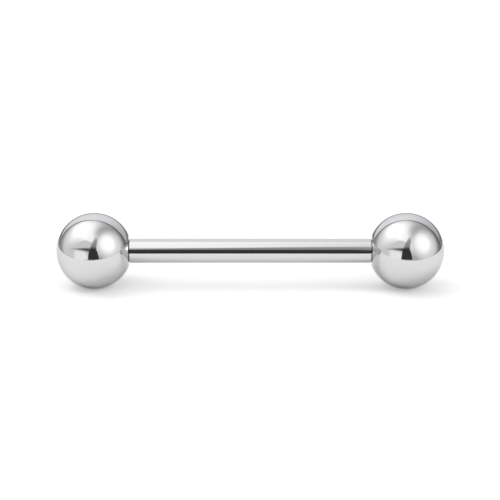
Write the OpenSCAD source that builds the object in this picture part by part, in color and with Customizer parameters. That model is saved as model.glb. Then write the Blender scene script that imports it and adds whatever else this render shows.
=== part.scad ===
/*
Straight barbell for a pierced tongue, lying on a flat surface.

A plain round bar has a threaded stub on each end, and a plain round ball screws onto each stub.
The bar runs along X, Y points away from the viewer and Z points up.
The origin is on the surface, straight below the middle of the bar.
*/

/* [Bar] */
// Diameter of the bar
bar_d = 1.6; // [1.2:0.2:2]
// Length of bar that shows between the two balls
bar_length = 16; // [12:1:22]

/* [Balls] */
// Diameter of each ball
ball_d = 5; // [5:0.5:8]
// Width of the flat rim between the bar and the round of the ball
rim_width = 0.2; // [0.15:0.05:0.4]

/* [Thread] */
// Length of the stub on each end of the bar
stub_length = 2.3; // [1.6:0.1:2.4]
// Diameter over the thread on the stub
thread_d = 1.2; // [0.8:0.2:1.6]
// Distance from one thread to the next
thread_pitch = 0.25; // [0.2:0.05:0.35]
// Height of the thread on the stub
thread_height = 0.15; // [0.1:0.01:0.18]
// Flat faces in one turn of the thread
turn_facets = 32; // [24:4:40]

/* [Clearances] */
// Gap round the stub, which lets the ball slide straight off
stub_gap = 0.02; // [0.015:0.005:0.04]
// Gap between the shoulder of the bar and the rim of the ball
seat_gap = 0.02; // [0.015:0.005:0.04]

/* [Hidden] */
$fn = 64;

// Height of the bar's axis above the surface, which only the balls touch
axis_z = ball_d / 2;
bar_r = bar_d / 2;

// The bar's shoulder, which seats against the rim of the ball
bar_end = bar_length / 2 - seat_gap;
shoulder_chamfer = 0.06;

// The flat rim lies where a plane cuts the ball at this distance from its centre
rim_r = bar_r + rim_width;
rim_to_centre = sqrt(pow(ball_d / 2, 2) - pow(rim_r, 2));

// The thread on the stub, and the groove that clears it in the ball
groove_depth = 0.1;
stub_crest_r = thread_d / 2;
stub_core_r = stub_crest_r - thread_height;
hole_core_r = stub_crest_r + stub_gap;
hole_crest_r = hole_core_r + groove_depth;

// Lengths measured outward from the bar's shoulder, where the roots of stub and hole overlap inward
root_overlap = 0.08;
thread_start = 0.08;
stub_chamfer = 0.1;
tip_room = 0.35;
hole_length = stub_length + tip_room;
drill_point_slope = 0.6;

// One thread, from valley to valley: [share of the pitch, share of the height]
thread_profile = [
    [0, 0],
    [0.38, 1],
    [0.5, 1],
    [0.88, 0],
];
profile_rows = len(thread_profile);
// Part of a turn in which the thread rises out of the core, and sinks back into it
runout_turns = 0.4;

// One ring of points round the Z axis
function ring(z, r) = [
    for (facet = [0 : turn_facets - 1])
        let (angle = 360 * facet / turn_facets)
        [r * cos(angle), r * sin(angle), z]
];

// Share of the thread's height after so many turns, of a thread with so many in all
function runout(turn, turns) =
    max(0, min(1, turn / runout_turns, (turns - turn) / runout_turns));

// One point of a thread: a row of the profile, counted on from turn to turn, at one facet
function thread_point(row, facet, turns, core_r, crest_r) =
    let (
        profile = thread_profile[row % profile_rows],
        turn = floor(row / profile_rows) + facet / turn_facets,
        r = core_r + (crest_r - core_r) * profile[1] * runout(turn, turns),
        angle = 360 * facet / turn_facets
    )
    [r * cos(angle), r * sin(angle), thread_start + thread_pitch * (turn + profile[0])];

// Round core along Z with a right-hand thread on it, from z = start_z to apex_z.
// tip lists the rings past the thread, each as [z, r]. Each facet is a column of points from the
// first valley to the last, and the first column goes on for one more turn, because the last
// column meets it there, one thread higher.
module threaded_core(core_r, crest_r, start_z, tip, apex_z) {
    turns = floor((tip[0][0] - thread_start) / thread_pitch) - 1;
    top = turns * profile_rows;
    last = turn_facets - 1;
    tips = len(tip);

    points = concat(
        ring(start_z, core_r),
        [for (i = [0 : last], row = [0 : top]) thread_point(row, i, turns, core_r, crest_r)],
        [for (row = [top + 1 : top + profile_rows]) thread_point(row, 0, turns, core_r, crest_r)],
        [for (t = tip) each ring(t[0], t[1])],
        [[0, 0, start_z], [0, 0, apex_z]]
    );

    // Places of the points in that list
    function start(i) = i % turn_facets;
    function at(i, row) =
        let (up = row + profile_rows * floor(i / turn_facets))
        up > top
            ? turn_facets * (top + 2) + up - top - 1
            : turn_facets + start(i) * (top + 1) + up;
    function past(t, i) = turn_facets * (top + 2 + t) + profile_rows + start(i);
    start_centre = len(points) - 2;
    apex = len(points) - 1;

    faces = concat(
        [for (i = [0 : last]) [start_centre, start(i), start(i + 1)]],
        // From the start up to the first valley
        [for (i = [0 : last - 1]) each [
            [start(i), at(i, 0), start(i + 1)],
            [start(i + 1), at(i, 0), at(i + 1, 0)]]],
        [for (row = [0 : profile_rows - 1]) [start(last), at(0, row + 1), at(0, row)]],
        [[start(last), at(0, 0), start(0)], [start(last), at(last, 0), at(0, profile_rows)]],
        // The thread
        [for (i = [0 : last], row = [0 : top - 1]) each [
            [at(i, row), at(i, row + 1), at(i + 1, row)],
            [at(i + 1, row), at(i, row + 1), at(i + 1, row + 1)]]],
        // From the last valley up to the tip
        [for (row = [top : top + profile_rows - 1]) [at(0, row), at(0, row + 1), past(0, 1)]],
        [[at(0, top + profile_rows), past(0, 0), past(0, 1)], [at(0, top), past(0, 1), at(1, top)]],
        [for (i = [1 : last]) each [
            [at(i, top), past(0, i), past(0, i + 1)],
            [at(i, top), past(0, i + 1), at(i + 1, top)]]],
        // The tip
        [for (t = [1 : 1 : tips - 1], i = [0 : last]) each [
            [past(t - 1, i), past(t, i), past(t - 1, i + 1)],
            [past(t - 1, i + 1), past(t, i), past(t, i + 1)]]],
        [for (i = [0 : last]) [past(tips - 1, i), apex, past(tips - 1, i + 1)]]
    );
    polyhedron(points, faces);
}

// The stub on the end of the bar, with a chamfered tip
module stub() {
    tip = [[stub_length - stub_chamfer, stub_core_r], [stub_length, stub_core_r - stub_chamfer]];
    threaded_core(stub_core_r, stub_crest_r, -root_overlap, tip, stub_length);
}

// What the drill and the tap take out of a ball, with the point that the drill leaves
module tapped_hole() {
    apex_z = hole_length + drill_point_slope * hole_core_r;
    threaded_core(hole_core_r, hole_crest_r, -root_overlap, [[hole_length, hole_core_r]], apex_z);
}

// A ball with its rim at z = 0 and its hole opening downward
module ball() {
    color("silver")
    difference() {
        translate([0, 0, rim_to_centre])
            sphere(d = ball_d);
        translate([-ball_d, -ball_d, -ball_d])
            cube([2 * ball_d, 2 * ball_d, ball_d]);
        translate([0, 0, -seat_gap])
            tapped_hole();
    }
}

// The plain round of the bar, along Z, with its middle at the origin
module shank() {
    shoulder_r = bar_r - shoulder_chamfer;
    round_end = bar_end - shoulder_chamfer;
    rotate_extrude()
        polygon([
            [0, -bar_end],
            [shoulder_r, -bar_end],
            [bar_r, -round_end],
            [bar_r, round_end],
            [shoulder_r, bar_end],
            [0, bar_end],
        ]);
}

module bar() {
    color("silver")
    translate([0, 0, axis_z])
        rotate([0, 90, 0]) {
            shank();
            for (turned = [0, 180])
                rotate([turned, 0, 0])
                    translate([0, 0, bar_end])
                        stub();
        }
}

module ball_left() {
    translate([-bar_length / 2, 0, axis_z])
        rotate([0, -90, 0])
            ball();
}

module ball_right() {
    translate([bar_length / 2, 0, axis_z])
        rotate([0, 90, 0])
            ball();
}

bar();
ball_left();
ball_right();
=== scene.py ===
"""Looks of a straight steel tongue barbell that lies on a pale floor in a small photo studio."""

import math

import bmesh
import bpy
from mathutils import Matrix, Vector


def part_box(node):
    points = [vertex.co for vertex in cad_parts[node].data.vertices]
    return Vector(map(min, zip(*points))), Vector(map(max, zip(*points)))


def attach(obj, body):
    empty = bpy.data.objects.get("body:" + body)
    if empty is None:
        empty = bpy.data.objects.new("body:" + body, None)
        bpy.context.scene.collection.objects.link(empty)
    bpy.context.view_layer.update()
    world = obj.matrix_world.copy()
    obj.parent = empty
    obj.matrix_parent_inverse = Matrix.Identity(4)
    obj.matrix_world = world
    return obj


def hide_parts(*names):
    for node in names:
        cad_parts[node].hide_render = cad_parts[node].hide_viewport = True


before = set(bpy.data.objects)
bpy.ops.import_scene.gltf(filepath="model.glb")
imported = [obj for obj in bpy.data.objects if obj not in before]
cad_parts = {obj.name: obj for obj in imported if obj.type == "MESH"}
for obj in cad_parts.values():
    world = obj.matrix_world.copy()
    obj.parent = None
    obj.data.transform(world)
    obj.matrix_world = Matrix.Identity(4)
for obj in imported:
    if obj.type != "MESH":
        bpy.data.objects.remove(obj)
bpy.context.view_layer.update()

# Everything is in metres, and MM turns the sizes of the barbell into metres
MM = 0.001

# Sizes of the steel pieces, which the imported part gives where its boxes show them
AXIS_Z = (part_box("bar")[0].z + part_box("bar")[1].z) / 2
RIM_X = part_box("ball_right")[0].x
TIP_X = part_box("bar")[1].x
BAR_R = 0.8 * MM
BALL_R = 2.5 * MM
# The flat rim round the hole of a ball, and the bevel on the outer edge of that rim
RIM_WIDTH = 0.2 * MM
RIM_R = BAR_R + RIM_WIDTH
RIM_BEVEL = 0.015 * MM
# The shoulder of the bar, which stands this far from the rim
SEAT_GAP = 0.02 * MM
SHOULDER_CHAMFER = 0.06 * MM
BAR_END = RIM_X - SEAT_GAP

# The thread, whose places are measured outward from the shoulder of the bar
PITCH = 0.25 * MM
THREAD_START = 0.08 * MM
STUB_LENGTH = TIP_X - BAR_END
STUB_CREST_R = 0.6 * MM
THREAD_HEIGHT = 0.15 * MM
STUB_CORE_R = STUB_CREST_R - THREAD_HEIGHT
STUB_CHAMFER = 0.1 * MM
# The hole clears the stub all round, and goes on past its tip
STUB_GAP = 0.02 * MM
GROOVE_DEPTH = 0.1 * MM
TIP_ROOM = 0.35 * MM
HOLE_CORE_R = STUB_CREST_R + STUB_GAP
HOLE_CREST_R = HOLE_CORE_R + GROOVE_DEPTH
HOLE_LENGTH = STUB_LENGTH + TIP_ROOM
DRILL_POINT = 0.37 * MM
# Part of a turn in which the thread rises out of the core, and sinks back into it
RUNOUT_TURNS = 0.4
# One thread, from valley to valley: share of the pitch, share of the height
THREAD_PROFILE = [(0, 0), (0.36, 0.94), (0.4, 1), (0.48, 1), (0.52, 0.94), (0.88, 0)]

# Fineness of the meshes
FACETS = 144
BALL_RINGS = 72
BAR_RINGS = 16
ELLIPSE_POINTS = 96
DOME_SUBDIVISIONS = 4
SHARP_ANGLE = math.radians(14)
WELD = 0.0002 * MM


def wind(mesh, columns, shift=0):
    """Adds the surface through columns of (z, radius) points that stand evenly round the Z axis.
    The last column meets the first one shift rows further on, as the turns of a thread do."""
    rings = []
    for i, column in enumerate(columns):
        angle = math.tau * i / len(columns)
        across, up = math.cos(angle), math.sin(angle)
        rings.append([mesh.verts.new((r * across, r * up, z)) for z, r in column])
    for i, here in enumerate(rings):
        closing = i == len(rings) - 1
        there = rings[0][shift:] if closing else rings[i + 1]
        for row in range(min(len(here), len(there)) - 1):
            mesh.faces.new((here[row], there[row], there[row + 1], here[row + 1]))


def revolve(mesh, profile):
    """Adds the surface of a profile of (z, radius) points turned round the Z axis."""
    wind(mesh, [profile] * FACETS)


def thread(mesh, low, high, core_r, crest_r):
    """Adds a round core from z = low to z = high, with a right-hand thread of whole turns on it."""
    turns = math.floor((high - THREAD_START) / PITCH) - 1
    columns = []
    for i in range(FACETS):
        column = []
        for whole_turns in range(-2, turns + 3):
            turn = whole_turns + i / FACETS
            rise = max(0, min(1, turn / RUNOUT_TURNS, (turns - turn) / RUNOUT_TURNS))
            for along, height in THREAD_PROFILE:
                z = THREAD_START + PITCH * (turn + along)
                r = core_r + (crest_r - core_r) * height * rise
                column.append((max(low, min(high, z)), r))
        columns.append(column)
    wind(mesh, columns, shift=len(THREAD_PROFILE))


def add_mesh(mesh, other):
    """Adds a copy of another mesh, and frees that one."""
    data = bpy.data.meshes.new("part")
    other.to_mesh(data)
    other.free()
    mesh.from_mesh(data)
    bpy.data.meshes.remove(data)


def steel_piece(name, mesh, placement, node):
    """Makes one closed steel piece out of a mesh along the Z axis, and lets it stand for a CAD node."""
    bmesh.ops.remove_doubles(mesh, verts=mesh.verts, dist=WELD)
    bmesh.ops.dissolve_degenerate(mesh, edges=mesh.edges, dist=WELD)
    bmesh.ops.recalc_face_normals(mesh, faces=mesh.faces)
    mesh.transform(placement)
    data = bpy.data.meshes.new(name)
    mesh.to_mesh(data)
    mesh.free()
    data.shade_smooth()
    data.set_sharp_from_angle(angle=SHARP_ANGLE)
    data.materials.append(polished_steel)
    piece = bpy.data.objects.new(name, data)
    bpy.context.scene.collection.objects.link(piece)
    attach(piece, node)
    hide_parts(node)
    return piece


def along_x(x, direction):
    """Matrix that lays the Z axis along X, toward +X or -X, with z = 0 at that x on the bar's axis."""
    return Matrix.Translation((x, 0, AXIS_Z)) @ Matrix.Rotation(math.radians(90) * direction, 4, "Y")


def ball(name, direction, node):
    """One ball, from the drill point of its hole out over the rim and round to its far side."""
    rim_to_centre = math.sqrt(BALL_R**2 - RIM_R**2)
    rim_angle = math.asin((RIM_R + RIM_BEVEL) / BALL_R)
    outside = [(0, HOLE_CORE_R), (0, RIM_R - RIM_BEVEL)]
    for i in range(BALL_RINGS + 1):
        angle = rim_angle + (math.pi - rim_angle) * i / BALL_RINGS
        outside.append((rim_to_centre - BALL_R * math.cos(angle), BALL_R * math.sin(angle)))
    mesh = bmesh.new()
    revolve(mesh, outside)
    hole = bmesh.new()
    thread(hole, SEAT_GAP, HOLE_LENGTH, HOLE_CORE_R, HOLE_CREST_R)
    revolve(hole, [(HOLE_LENGTH, HOLE_CORE_R), (HOLE_LENGTH + DRILL_POINT, 0)])
    hole.transform(Matrix.Translation((0, 0, -SEAT_GAP)))
    add_mesh(mesh, hole)
    return steel_piece(name, mesh, along_x(RIM_X * direction, direction), node)


def bar(name, node):
    """The round bar with a threaded stub on each end."""
    round_end = BAR_END - SHOULDER_CHAMFER
    shoulder = [(round_end, BAR_R), (BAR_END, BAR_R - SHOULDER_CHAMFER), (BAR_END, STUB_CORE_R)]
    rings = [(round_end * (2 * i / BAR_RINGS - 1), BAR_R) for i in range(1, BAR_RINGS)]
    mesh = bmesh.new()
    revolve(mesh, [(-z, r) for z, r in reversed(shoulder)] + rings + shoulder)
    tip_r = STUB_CORE_R - STUB_CHAMFER
    chamfer_start = STUB_LENGTH - STUB_CHAMFER
    for turned in (0, math.pi):
        stub = bmesh.new()
        thread(stub, 0, chamfer_start, STUB_CORE_R, STUB_CREST_R)
        revolve(stub, [(chamfer_start, STUB_CORE_R), (STUB_LENGTH, tip_r), (STUB_LENGTH, 0)])
        stub.transform(Matrix.Rotation(turned, 4, "X") @ Matrix.Translation((0, 0, BAR_END)))
        add_mesh(mesh, stub)
    return steel_piece(name, mesh, along_x(0, 1), node)


# The steel: its brightness straight on and near its edges, and its gloss
STEEL_COLOUR = (0.62, 0.62, 0.62, 1)
STEEL_EDGE_TINT = (0.8, 0.795, 0.815, 1)
STEEL_ROUGHNESS_LOW = 0.02
STEEL_ROUGHNESS_HIGH = 0.05
# The haze that varies its gloss: spots in a metre, and the part of the noise's range that it uses
HAZE_SCALE = 700
HAZE_LOW = 0.3
HAZE_HIGH = 0.7
# The polishing marks: spots in a metre, strength and depth
MARKS_SCALE = 2500
MARKS_STRENGTH = 0.02
MARKS_DEPTH = 0.01 * MM


def add_node(tree, kind, inputs=None, **settings):
    """Adds a node with its settings, and sets or links its inputs."""
    made = tree.nodes.new(kind)
    for name, value in settings.items():
        setattr(made, name, value)
    for key, value in (inputs or {}).items():
        if isinstance(value, bpy.types.NodeSocket):
            tree.links.new(value, made.inputs[key])
        else:
            made.inputs[key].default_value = value
    return made


def new_material(name):
    """A material with an empty node tree."""
    material = bpy.data.materials.new(name)
    material.use_nodes = True
    material.node_tree.nodes.clear()
    return material


def make_polished_steel():
    """Bright polished steel with faint polishing marks and a slightly uneven gloss."""
    material = new_material("polished_steel")
    tree = material.node_tree
    place = add_node(tree, "ShaderNodeTexCoord").outputs["Object"]
    haze = add_node(tree, "ShaderNodeTexNoise", {"Vector": place, "Scale": HAZE_SCALE, "Detail": 3})
    roughness = add_node(
        tree,
        "ShaderNodeMapRange",
        {
            "Value": haze.outputs["Fac"],
            "From Min": HAZE_LOW,
            "From Max": HAZE_HIGH,
            "To Min": STEEL_ROUGHNESS_LOW,
            "To Max": STEEL_ROUGHNESS_HIGH,
        },
    )
    marks = add_node(tree, "ShaderNodeTexNoise", {"Vector": place, "Scale": MARKS_SCALE, "Detail": 4})
    bump = add_node(
        tree,
        "ShaderNodeBump",
        {"Height": marks.outputs["Fac"], "Strength": MARKS_STRENGTH, "Distance": MARKS_DEPTH},
    )
    shader = add_node(
        tree,
        "ShaderNodeBsdfPrincipled",
        {
            "Base Color": STEEL_COLOUR,
            "Metallic": 1,
            "Roughness": roughness.outputs["Result"],
            "Specular Tint": STEEL_EDGE_TINT,
            "Normal": bump.outputs["Normal"],
        },
    )
    add_node(tree, "ShaderNodeOutputMaterial", {"Surface": shader.outputs["BSDF"]})
    return material


def make_matte(name, colour, glow=0):
    """Plain matte surface of one colour, which may shine a little as well."""
    material = new_material(name)
    tree = material.node_tree
    matte = add_node(tree, "ShaderNodeBsdfDiffuse", {"Color": (*colour, 1)})
    shine = add_node(tree, "ShaderNodeEmission", {"Strength": glow})
    both = add_node(tree, "ShaderNodeAddShader", {0: matte.outputs["BSDF"], 1: shine.outputs["Emission"]})
    add_node(tree, "ShaderNodeOutputMaterial", {"Surface": both.outputs["Shader"]})
    return material


def make_glow(name, colour):
    """Surface that shines evenly, for what only appears in a reflection or behind the scene."""
    material = new_material(name)
    tree = material.node_tree
    shader = add_node(tree, "ShaderNodeEmission", {"Color": (*colour, 1), "Strength": 1})
    add_node(tree, "ShaderNodeOutputMaterial", {"Surface": shader.outputs["Emission"]})
    return material


def toward(azimuth, elevation):
    """Direction from the barbell, both in degrees: azimuth goes from the camera's side toward +X,
    and elevation up from the floor."""
    a, e = math.radians(azimuth), math.radians(elevation)
    return Vector((math.sin(a) * math.cos(e), -math.cos(a) * math.cos(e), math.sin(e)))


# All that stands round the barbell is given as azimuths and elevations in degrees, and as a
# brightness, where 1 is the picture's white. The room comes first, and each thing lies over the last.
# Most of these numbers weren't chosen by hand: they are the rounded result of a separate program,
# which fitted them to the brightness of the photograph. The two middles, the backdrop and the gap
# round it aren't from that fit.
ROOM_BRIGHTNESS = 0.49
ZENITH = (0, 60)
ZENITH_FADE_COSINES = (0.31, 1.21)
ZENITH_BRIGHTNESS = 1.55
# Flat lights and walls: name, corners, width of the soft edge, brightness
PANELS = [
    ("left wall", [(-132, 46), (-38, 47), (-20, -17), (-148, -14)], 11, 0.9),
    ("ceiling glow", [(-216, 52), (-93, 19), (-6, 47), (60, 86)], 44, 1.74),
    ("overhead softbox", [(-180, 45), (-112, 34), (-10, 41), (-43, 72)], 24, 1.6),
    ("fold", [(-60, 26), (-37, 46), (0, 41), (-6, 16), (-72, 11)], 5, 0.89),
]
# Round lights and shades: name, centre, radius of the even part, radius where it ends, brightness
DISHES = [
    ("shade round the lamp", (71, 45), 13, 47, 0.48),
    ("rim of the lamp", (61, 23), 25, 52, 1.08),
    ("lamp", (55, 30), 10, 34, 1.6),
    ("middle of the lamp", (60, 28), 3, 16, 6),
    ("middle of the softbox", (-95, 59), 4, 22, 4),
    ("shade beside the camera", (19, -11), 3, 13, 0.61),
]
# More panels, with the same columns as the first ones
FRONT_PANELS = [
    ("dark left of the backdrop", [(-164, 38), (-151, 39), (-94, -14), (-152, -14)], 18, 0.44),
    ("dark right of the backdrop", [(131, 47), (125, 41), (103, -14), (142, -14)], 16, 0.25),
    ("gap over the reflector", [(-70, 10), (-9, 25), (-8, 13), (-45, 13)], 6, 0.14),
    ("reflector", [(-57, 12), (-22, 13), (-8, -7), (-56, -20)], 14, 1.25),
    (
        "gap round the backdrop",
        [(121, -14), (122, 27), (138, 50), (180, 58.5), (-147, 50), (-132, 26), (-130, -14)],
        3,
        0.12,
    ),
]
# The backdrop behind the barbell, which is brightest round one place and darker toward its edges
BACKDROP = [(126, -14), (127, 27), (141, 47), (180, 57), (-150, 47), (-136, 25), (-135, -14)]
BACKDROP_SOFT = 3
BACKDROP_BRIGHTEST = (-165, 35)
BACKDROP_FADE_COSINES = (0.5, 1.1)
BACKDROP_BRIGHTNESS = 1.22
BACKDROP_EDGE_BRIGHTNESS = 0.68
# The share that it adds to the red, green and blue of its own light
BACKDROP_TINT = (0.005, 0, 0.03)
# The dark gap between its foot and the sheet
BACKDROP_FOOT = [(128, 4), (180, 6), (-138, 4), (-138, -25), (180, -25), (128, -25)]
BACKDROP_FOOT_SOFT = 6
BACKDROP_FOOT_BRIGHTNESS = 0.3


def facing(tree, direction, vector, low, high):
    """How far the direction looks along a vector: 0 at the cosine low, 1 at high, smooth between."""
    dot = add_node(tree, "ShaderNodeVectorMath", {0: direction, 1: vector}, operation="DOT_PRODUCT")
    step = add_node(
        tree,
        "ShaderNodeMapRange",
        {"Value": dot.outputs["Value"], "From Min": low, "From Max": high},
        interpolation_type="SMOOTHSTEP",
    )
    return step.outputs["Result"]


def panel_mask(tree, direction, corners, soft):
    """1 within the corners of a panel and 0 outside, with an edge that is so many degrees soft."""
    points = [toward(*corner) for corner in corners]
    middle = sum(points, Vector())
    half = math.radians(soft) / 2
    mask = 1.0
    for a, b in zip(points, points[1:] + points[:1]):
        edge = a.cross(b).normalized()
        edge *= math.copysign(1, edge.dot(middle))
        inside = facing(tree, direction, edge, -half, half)
        product = add_node(tree, "ShaderNodeMath", {0: mask, 1: inside}, operation="MULTIPLY")
        mask = product.outputs["Value"]
    return mask


def lay(tree, light, mask, brightness):
    """Lays a brightness over the light, where its mask is 1."""
    mixed = add_node(tree, "ShaderNodeMix", {"Factor": mask, "A": light, "B": brightness})
    return mixed.outputs["Result"]


def studio_brightness(tree, direction):
    """Brightness of the room with its panels and dishes."""
    zenith = facing(tree, direction, toward(*ZENITH), *ZENITH_FADE_COSINES)
    light = lay(tree, ROOM_BRIGHTNESS, zenith, ZENITH_BRIGHTNESS)
    for _, corners, soft, brightness in PANELS:
        light = lay(tree, light, panel_mask(tree, direction, corners, soft), brightness)
    for _, centre, inner, outer, brightness in DISHES:
        low, high = math.cos(math.radians(outer)), math.cos(math.radians(inner))
        light = lay(tree, light, facing(tree, direction, toward(*centre), low, high), brightness)
    for _, corners, soft, brightness in FRONT_PANELS:
        light = lay(tree, light, panel_mask(tree, direction, corners, soft), brightness)
    return light


def with_backdrop(tree, direction, light):
    """Colour of the studio with its slightly tinted backdrop, and the gap at the backdrop's foot."""
    near_brightest = facing(tree, direction, toward(*BACKDROP_BRIGHTEST), *BACKDROP_FADE_COSINES)
    backdrop = lay(tree, BACKDROP_EDGE_BRIGHTNESS, near_brightest, BACKDROP_BRIGHTNESS)
    mask = panel_mask(tree, direction, BACKDROP, BACKDROP_SOFT)
    light = lay(tree, light, mask, backdrop)
    foot = panel_mask(tree, direction, BACKDROP_FOOT, BACKDROP_FOOT_SOFT)
    light = lay(tree, light, foot, BACKDROP_FOOT_BRIGHTNESS)
    tint = add_node(
        tree,
        "ShaderNodeVectorMath",
        {0: mask, 1: BACKDROP_TINT, 2: (1, 1, 1)},
        operation="MULTIPLY_ADD",
    ).outputs["Vector"]
    colour = add_node(tree, "ShaderNodeVectorMath", {0: light, 1: tint}, operation="MULTIPLY")
    return colour.outputs["Vector"]


def make_studio_light():
    """World light of a studio whose lights, walls and backdrop are soft-edged shapes."""
    world = bpy.data.worlds.new("studio")
    bpy.context.scene.world = world
    world.use_nodes = True
    tree = world.node_tree
    tree.nodes.clear()
    direction = add_node(tree, "ShaderNodeTexCoord").outputs["Generated"]
    colour = with_backdrop(tree, direction, studio_brightness(tree, direction))
    background = add_node(tree, "ShaderNodeBackground", {"Color": colour, "Strength": 1})
    add_node(tree, "ShaderNodeOutputWorld", {"Surface": background.outputs["Background"]})


def stage_piece(name, data, material, shown_to):
    """A piece of the studio, which only the named kinds of rays see."""
    data.materials.append(material)
    piece = bpy.data.objects.new(name, data)
    bpy.context.scene.collection.objects.link(piece)
    for kind in ("camera", "diffuse", "glossy", "transmission", "volume_scatter", "shadow"):
        setattr(piece, "visible_" + kind, kind in shown_to)
    return piece


def flat_shape(name, points):
    """A mesh of one flat face."""
    data = bpy.data.meshes.new(name)
    data.from_pydata([tuple(point) for point in points], [], [range(len(points))])
    return data


def ellipse(centre, half_width, half_depth):
    """Points of a flat ellipse, parallel to the floor."""
    angles = [math.tau * i / ELLIPSE_POINTS for i in range(ELLIPSE_POINTS)]
    return [centre + Vector((half_width * math.cos(a), half_depth * math.sin(a), 0)) for a in angles]


# The stage is in metres, like the rest, and the overhead light's energy in watts. The sheet's place
# and size, the camera block's corners and most edges of its stand come from the same fit as above.
OVERHEAD_HEIGHT = 0.25
OVERHEAD_SIZE = 0.4
OVERHEAD_ENERGY = 0.08
FLOOR_R = 0.6
FLOOR_COLOUR = (0.6, 0.6, 0.6)
# The floor's own soft light, which keeps the shadows on it pale
FLOOR_GLOW = 0.3
DOME_R = 0.7
# The white sheet under the barbell, as far as its reflections show it
SHEET_COLOUR = (0.82, 0.82, 0.82)
SHEET_CENTRE = Vector((0, 6.6, 0.02)) * MM
SHEET_HALF_WIDTH = 33 * MM
SHEET_HALF_DEPTH = 22 * MM
# The dark camera, a little way in front of the barbell: its corners as (x, z)
CAMERA_BLOCK_Y = -0.17
CAMERA_BLOCK = [(-0.052, -0.0275), (0.05, -0.0275), (0.033, 0.055), (-0.043, 0.055)]
CAMERA_BLOCK_BRIGHTNESS = 0.05
# The dark shape that leans up from it: height, left edge, right edge, brightness
STAND_ROWS = [
    (0.053, -0.044, 0.028, 0.05),
    (0.07, -0.038, 0.028, 0.04),
    (0.1, -0.03, 0.03, 0.35),
    (0.19, 0.0, 0.051, 0.5),
    (0.3, 0.037, 0.071, 1.0),
    (0.36, 0.057, 0.081, 1.0),
]
# Width of the soft edge on each side of it
STAND_SOFT = 0.017


def make_fading_dark(name):
    """Glow whose brightness and cover are attributes of the surface, so that it can fade out."""
    material = new_material(name)
    tree = material.node_tree
    brightness = add_node(tree, "ShaderNodeAttribute", attribute_name="brightness").outputs["Fac"]
    cover = add_node(tree, "ShaderNodeAttribute", attribute_name="cover").outputs["Fac"]
    glow = add_node(tree, "ShaderNodeEmission", {"Color": brightness}).outputs["Emission"]
    clear = add_node(tree, "ShaderNodeBsdfTransparent").outputs["BSDF"]
    mixed = add_node(tree, "ShaderNodeMixShader", {0: cover, 1: clear, 2: glow})
    add_node(tree, "ShaderNodeOutputMaterial", {"Surface": mixed.outputs["Shader"]})
    return material


def leaning_stand():
    """The dark shape over the camera block, as a strip whose sides and top fade out."""
    points = []
    brightnesses = []
    cover = []
    half = STAND_SOFT / 2
    for z, left, right, brightness in STAND_ROWS:
        solid = float(z < STAND_ROWS[-1][0])
        across = (left - half, left + half, right - half, right + half)
        points += [(x, CAMERA_BLOCK_Y, z) for x in across]
        brightnesses += [brightness] * 4
        cover += [0.0, solid, solid, 0.0]
    faces = []
    for row in range(len(STAND_ROWS) - 1):
        for column in range(3):
            i = 4 * row + column
            faces.append((i, i + 1, i + 5, i + 4))
    data = bpy.data.meshes.new("leaning_stand")
    data.from_pydata(points, [], faces)
    data.attributes.new("brightness", "FLOAT", "POINT").data.foreach_set("value", brightnesses)
    data.attributes.new("cover", "FLOAT", "POINT").data.foreach_set("value", cover)
    return data


def make_overhead_light():
    """The broad soft light over the floor, which the steel doesn't mirror."""
    data = bpy.data.lights.new("overhead_light", "AREA")
    data.shape = "DISK"
    data.size = OVERHEAD_SIZE
    data.energy = OVERHEAD_ENERGY
    light = bpy.data.objects.new("overhead_light", data)
    light.location = (0, 0, OVERHEAD_HEIGHT)
    light.visible_camera = False
    light.visible_glossy = False
    bpy.context.scene.collection.objects.link(light)


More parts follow.
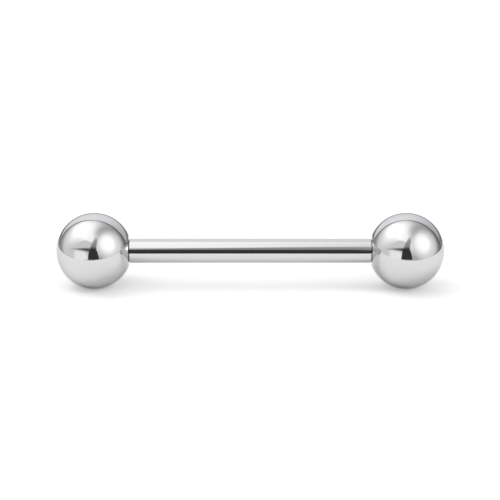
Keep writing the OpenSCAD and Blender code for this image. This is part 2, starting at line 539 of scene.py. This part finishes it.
def make_stage():
    """Floor, the sheet that the steel mirrors, the dark camera and its stand, and white all round."""
    floor = flat_shape("floor", ellipse(Vector(), FLOOR_R, FLOOR_R))
    pale = make_matte("pale_floor", FLOOR_COLOUR, FLOOR_GLOW)
    stage_piece("floor", floor, pale, ("camera", "diffuse"))
    sheet = flat_shape("sheet", ellipse(SHEET_CENTRE, SHEET_HALF_WIDTH, SHEET_HALF_DEPTH))
    stage_piece("sheet", sheet, make_matte("white_sheet", SHEET_COLOUR), ("glossy",))
    block = flat_shape("camera_block", [(x, CAMERA_BLOCK_Y, z) for x, z in CAMERA_BLOCK])
    dark = make_glow("camera_black", (CAMERA_BLOCK_BRIGHTNESS,) * 3)
    stage_piece("camera_block", block, dark, ("glossy",))
    fading = make_fading_dark("stand_black")
    stage_piece("leaning_stand", leaning_stand(), fading, ("glossy",))
    dome = bmesh.new()
    bmesh.ops.create_icosphere(dome, subdivisions=DOME_SUBDIVISIONS, radius=DOME_R)
    data = bpy.data.meshes.new("white_surround")
    dome.to_mesh(data)
    dome.free()
    stage_piece("white_surround", data, make_glow("white_surround", (1, 1, 1)), ("camera",))


# The camera stands at the photograph's angle, and aims a little above and left of the barbell's middle
CAMERA_DISTANCE = 0.1
CAMERA_ELEVATION = 17
CAMERA_AIM = Vector((-0.02, 0, 2.555)) * MM
CLIP_START = 0.005
CLIP_END = 2
# Both in millimetres, as Blender takes them
SENSOR_WIDTH = 36
LENS = 109.1


def make_camera():
    """The camera, in front of the barbell and a little above it."""
    data = bpy.data.cameras.new("camera")
    data.sensor_width = SENSOR_WIDTH
    data.lens = LENS
    data.clip_start = CLIP_START
    data.clip_end = CLIP_END
    camera = bpy.data.objects.new("camera", data)
    view = toward(0, CAMERA_ELEVATION)
    camera.location = CAMERA_AIM + CAMERA_DISTANCE * view
    camera.rotation_euler = view.to_track_quat("Z", "Y").to_euler()
    bpy.context.scene.collection.objects.link(camera)
    bpy.context.scene.camera = camera


polished_steel = make_polished_steel()
bar("round_bar", "bar")
ball("left_ball", -1, "ball_left")
ball("right_ball", 1, "ball_right")
make_studio_light()
make_overhead_light()
make_stage()
make_camera()
bpy.context.scene.view_settings.view_transform = "Standard"
